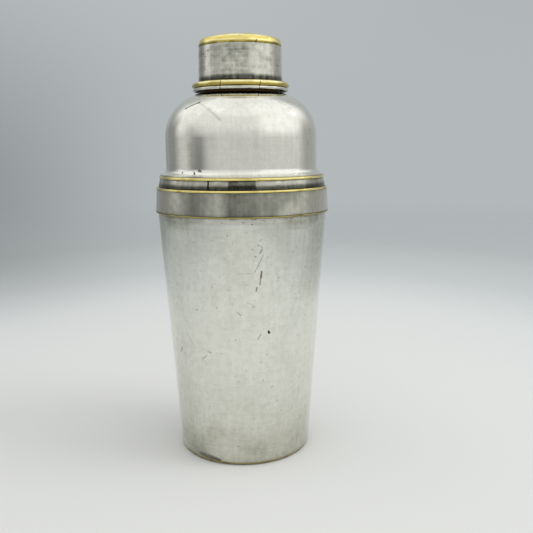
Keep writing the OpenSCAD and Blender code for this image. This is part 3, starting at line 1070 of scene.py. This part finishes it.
def build_cap():
    body = "cap"
    low, top = reach("cap_wall")[1:]
    crown_r, crown_low, _ = reach("cap_crown")
    wall_film = [(0, 0.85), (2.3, 0.95), (4.0, 0.8), (4.6, 0.58), (5.3, 0.31)]
    mottled = silver_plate(
        "silver_plate_cap",
        polish=0.14,
        tarnish=up_from("cap_wall", wall_film, 0.34),
        uneven=(0.22, 0.32, 0.2, 0.18),
        dirt=0.6,
        marks=placed(tapered(crown_r + CAP_TAPER, low, crown_r, top), CAP_MARKS),
    )
    rim_r, rim_low, rim_top = reach("cap_rim_bead")
    bead_r, bead_low, bead_top = reach("cap_gilt_bead")
    nick_r = rim_r - NICK_INSET
    rim_nicks = [
        (on_side(a, rim_low, nick_r), on_side(a, rim_top, nick_r), 0.1, 0.3, 0.3, 0.8)
        for a, _ in NICKS
    ]
    bead_nicks = [
        (on_side(a, bead_low, nick_r), on_side(a + 1, bead_top - drop, bead_r), 0.1, 0.3, 0.3, 0.9)
        for a, drop in NICKS
    ]
    # Painted shade on the rim bead: dark on its underside and lighter where it meets the flare
    pale = silver_plate(
        "silver_plate_rim",
        polish=0.12,
        tarnish=up_from("cap_rim_bead", [(0, 0.7), (0.3, 0.2), (0.7, 0.04)], 0.35),
        uneven=(0.15, 0.2, 0.05, 0.05),
        marks={"pit": rim_nicks},
    )
    # Painted light and shade up the bead and the crown
    bead_painted_light = up_from("cap_gilt_bead", BEAD_PAINTED_LIGHT, "#DCCB7A")
    bead = gilt("gilt_cap_bead", bead_painted_light, worn="#C4B05A", polish=0.08, nicks=bead_nicks)
    crown_painted_light = up_from("cap_crown", CROWN_EDGE_PAINTED_LIGHT + CROWN_TOP_PAINTED_LIGHT, "#F2E284")
    speck_ends = (on_side(23, crown_low + 0.2, crown_r), on_side(24, crown_low + 1, crown_r))
    speck = (*speck_ends, 0.12, 0.3, 0.3, 0.8)
    crown = gilt("gilt_crown", crown_painted_light, worn="#EAD982", polish=0.08, nicks=[speck])
    dents = (0.05, 8.0, low + 3, top - 0.5, 3.0, 11)
    spin("cap_wall", body, cap_wall_section(), mottled, dents=dents)
    spin("cap_gilt_bead", body, gilt_bead_section(), bead)
    spin("cap_rim_bead", body, rim_bead_section(), pale)
    spin("cap_crown", body, crown_section(), crown, closed=False)
    spin("cork_seal", body, cork_section(), cork("cork_pressed"), closed=False)


# Stage

# Floor, in millimetres: half its width, its depth under the shaker, the distance over which the
# painted falloff of light darkens its paper, and how much a way to the side or the front counts in
# that distance
FLOOR_HALF = 4000.0
FLOOR_DROP = 0.2
FLOOR_REACH = 1000.0
FLOOR_SIDE = 1.3
FLOOR_FRONT = 0.6

# Its paper with painted falloff of light, by share of that distance: close by, then behind the shaker
# and elsewhere
PAPER_NEAR = [(0.15, "#DDDEDC"), (0.23, "#DADCDA"), (0.33, "#D5D8D7"), (0.47, "#C2C6C7")]
PAPER_BEHIND = [(0.7, "#B3B8B9"), (1.0, "#B2B8BA")]
PAPER_ROUND = [(0.7, "#BFC3C3"), (1.0, "#CCCECD")]

# Where the paper behind sets in, where painted shade dims the far left and by how much, and where the
# floor fades
BACK_SPAN = (-100.0, 250.0)
DIM_BACK = (140.0, 520.0)
DIM_LEFT = (math.radians(-6), math.radians(-26))
DIM_SHARE = 0.3
FADE_SPAN = (700.0, 1500.0)


def build_floor():
    """A pale paper floor that darkens softly away from the light over the shaker."""
    mesh = bpy.data.meshes.new("floor")
    ends = (-FLOOR_HALF * MM, FLOOR_HALF * MM)
    corners = [(x, y, -FLOOR_DROP * MM) for x in ends for y in ends]
    mesh.from_pydata(corners, [], [(0, 2, 3, 1)])
    floor = new_object("floor", mesh)
    material, tree, body, place = shader("paper_pale")

    # Distance from the shaker, which counts more to the sides than to the back, and less in front
    across, depth, _ = add(tree, "SeparateXYZ", [place]).node.outputs
    aside = add(tree, "Math.MULTIPLY", [across, FLOOR_SIDE])
    ahead = add(tree, "Math.MULTIPLY", [depth, -FLOOR_FRONT])
    along = add(tree, "Math.MAXIMUM", [depth, ahead])
    spot = add(tree, "CombineXYZ", {"X": aside, "Y": along})
    away = add(tree, "VectorMath.LENGTH", [spot], out="Value")
    share = add(tree, "MapRange", [away, 0.0, FLOOR_REACH])
    behind, elsewhere = [
        add(tree, "ValToRGB", [share], stops=shades(PAPER_NEAR + far))
        for far in (PAPER_BEHIND, PAPER_ROUND)
    ]

    # The far left is further from the light, as the sky behind it is. Far off, the paper fades into
    # the light round it, so that no edge shows from any side.
    from_camera = add(tree, "Math.ADD", [depth, -CAMERA_PLACE[1] / MM])
    turn = add(tree, "Math.ARCTAN2", [across, from_camera])
    spread = add(tree, "VectorMath.LENGTH", [place], out="Value")
    spans = [(depth, BACK_SPAN), (depth, DIM_BACK), (turn, DIM_LEFT), (spread, FADE_SPAN)]
    back, far_back, far_left, fade = [
        add(tree, "MapRange", [value, *span], interpolation_type="SMOOTHSTEP") for value, span in spans
    ]
    corner = add(tree, "Math.MULTIPLY", [far_back, far_left])
    dim = add(tree, "Math.MULTIPLY", [corner, DIM_SHARE])
    colour = coated(tree, elsewhere, [(back, behind), (dim, grey(0.0))])
    fill(tree, body, {"Base Color": colour, "Roughness": 0.95, "Specular IOR Level": 0.0})
    air = add(tree, "BsdfTransparent")
    faded = add(tree, "MixShader", [fade, body.outputs["BSDF"], air])
    fill(tree, tree.nodes["Material Output"], {"Surface": faded})
    mesh.materials.append(material)


# What says how a soft panel lies in the sky, in degrees
PANEL_SHAPE = ("Across", "Up", "Half across", "Half up", "Soft")


def panel_group():
    """Mask of a soft panel in the sky, by its middle and half sizes in degrees."""
    kinds = dict.fromkeys(("Azimuth", "Elevation", *PANEL_SHAPE), "Float")
    tree, given, _ = new_group("soft_panel", "Shader", kinds, ("Mask", "Float"))
    mask = 1.0
    for angle, middle, half in (("Azimuth", "Across", "Half across"), ("Elevation", "Up", "Half up")):
        offset = add(tree, "Math.SUBTRACT", [given[angle], given[middle]])
        wrapped = add(tree, "Math.WRAP", [offset, -180.0, 180.0])
        away = add(tree, "Math.ABSOLUTE", [wrapped])
        outer = add(tree, "Math.ADD", [given[half], given["Soft"]])
        inner = add(tree, "Math.SUBTRACT", [given[half], given["Soft"]])
        part = add(tree, "MapRange", [away, outer, inner], interpolation_type="SMOOTHSTEP")
        mask = add(tree, "Math.MULTIPLY", [mask, part])
    fill(tree, tree.nodes.new("NodeGroupOutput"), {"Mask": mask})
    return tree


# Light of the studio by elevation in degrees, from the floor's edge to overhead
LOW_SKY = [(-90, 0.5), (-6, 0.6), (-2, 0.65), (3, 0.68), (8, 0.72), (15, 0.78)]
HIGH_SKY = [(25, 0.86), (47, 0.88), (58, 1.02), (75, 1.0), (90, 0.96)]

# Soft panels on it, by PANEL_SHAPE, and their colour
PANELS = [
    (72, 42, 38, 34, 14, grey(1.16)),
    (115, 45, 25, 18, 7, grey(1.12)),
    (-108, 40, 27, 14, 5, grey(1.06)),
    (-86, 62, 40, 6, 5, grey(1.12)),
    (180, 29, 42, 24, 15, linear("#BCC0C0")),
    (-130, 1, 24, 20, 13, grey(0.28)),
    (138, 1, 35, 17, 13, grey(0.4)),
    (180, 0, 34, 16, 13, linear("#B3B8BA")),
    (-154, -4, 10, 10, 10, linear("#8F9496")),
    (-60, -4, 22, 10, 14, grey(0.52)),
    (-74, 4, 13, 12, 16, grey(0.54)),
    (-65, -7, 11, 9, 8, grey(0.17)),
    (-103, 22, 9, 15, 10, grey(0.95)),
    (111, 37, 2.2, 2.2, 1.0, grey(6.0)),
]


def build_world():
    """Studio round the shaker: bright overhead, dimmer at the sides, with soft panels."""
    world = bpy.data.worlds.new("studio")
    world.use_nodes = True
    bpy.context.scene.world = world
    tree = world.node_tree
    ray = add(tree, "TexCoord", out="Generated")
    across, depth, height = add(tree, "SeparateXYZ", [ray]).node.outputs
    front = add(tree, "Math.MULTIPLY", [depth, -1.0])
    turn = add(tree, "Math.ARCTAN2", [across, front])
    azimuth = add(tree, "Math.DEGREES", [turn])
    rise = add(tree, "Math.ARCSINE", [height])
    elevation = add(tree, "Math.DEGREES", [rise])
    share = add(tree, "MapRange", [elevation, -90.0, 90.0])
    stops = [((degrees + 90) / 180, grey(level)) for degrees, level in LOW_SKY + HIGH_SKY]
    light = add(tree, "ValToRGB", [share], stops=stops)
    panel = panel_group()
    coats = []
    for *shape, colour in PANELS:
        values = dict(zip(PANEL_SHAPE, shape), Azimuth=azimuth, Elevation=elevation)
        coats.append((add(tree, "Group", values, node_tree=panel), colour))
    fill(tree, tree.nodes["Background"], {"Color": coated(tree, light, coats)})


# Key lamp, in metres and watts: how wide it is, where it stands by angles and distance from a point
# at that level on the shaker's axis, and its power
KEY_WIDTH = 0.45
KEY_ACROSS = math.radians(78)
KEY_UP = math.radians(48)
KEY_DISTANCE = 1.0
KEY_LEVEL = 0.06
KEY_POWER = 1.9


def build_key():
    """One soft lamp at the right for the soft shadow; the panels stand for it in reflections."""
    lamp = bpy.data.lights.new("key_softbox", "AREA")
    lamp.shape = "DISK"
    lamp.size = KEY_WIDTH
    lamp.energy = KEY_POWER
    key = new_object("key_softbox", lamp)
    flat = math.cos(KEY_UP)
    way = Vector((math.sin(KEY_ACROSS) * flat, -math.cos(KEY_ACROSS) * flat, math.sin(KEY_UP)))
    key.location = way * KEY_DISTANCE + Vector((0, 0, KEY_LEVEL))
    key.rotation_euler = way.to_track_quat("Z", "Y").to_euler()
    key.visible_camera = False
    key.visible_glossy = False


def build_camera():
    data = bpy.data.cameras.new("camera")
    data.sensor_width = SENSOR_MM
    data.lens = FOCAL_PX / IMAGE_PX * SENSOR_MM
    data.clip_start = 0.01
    camera = new_object("camera", data)
    camera.location = CAMERA_PLACE
    pitch = Matrix.Rotation(math.pi / 2 - CAMERA_DOWN, 3, "X")
    roll = Matrix.Rotation(CAMERA_ROLL, 3, "Z")
    camera.rotation_euler = (pitch @ roll).to_euler()
    bpy.context.scene.camera = camera


build_camera()
build_beaker()
build_shoulder()
build_cap()
build_floor()
build_world()
build_key()
bpy.context.scene.view_settings.view_transform = "Standard"
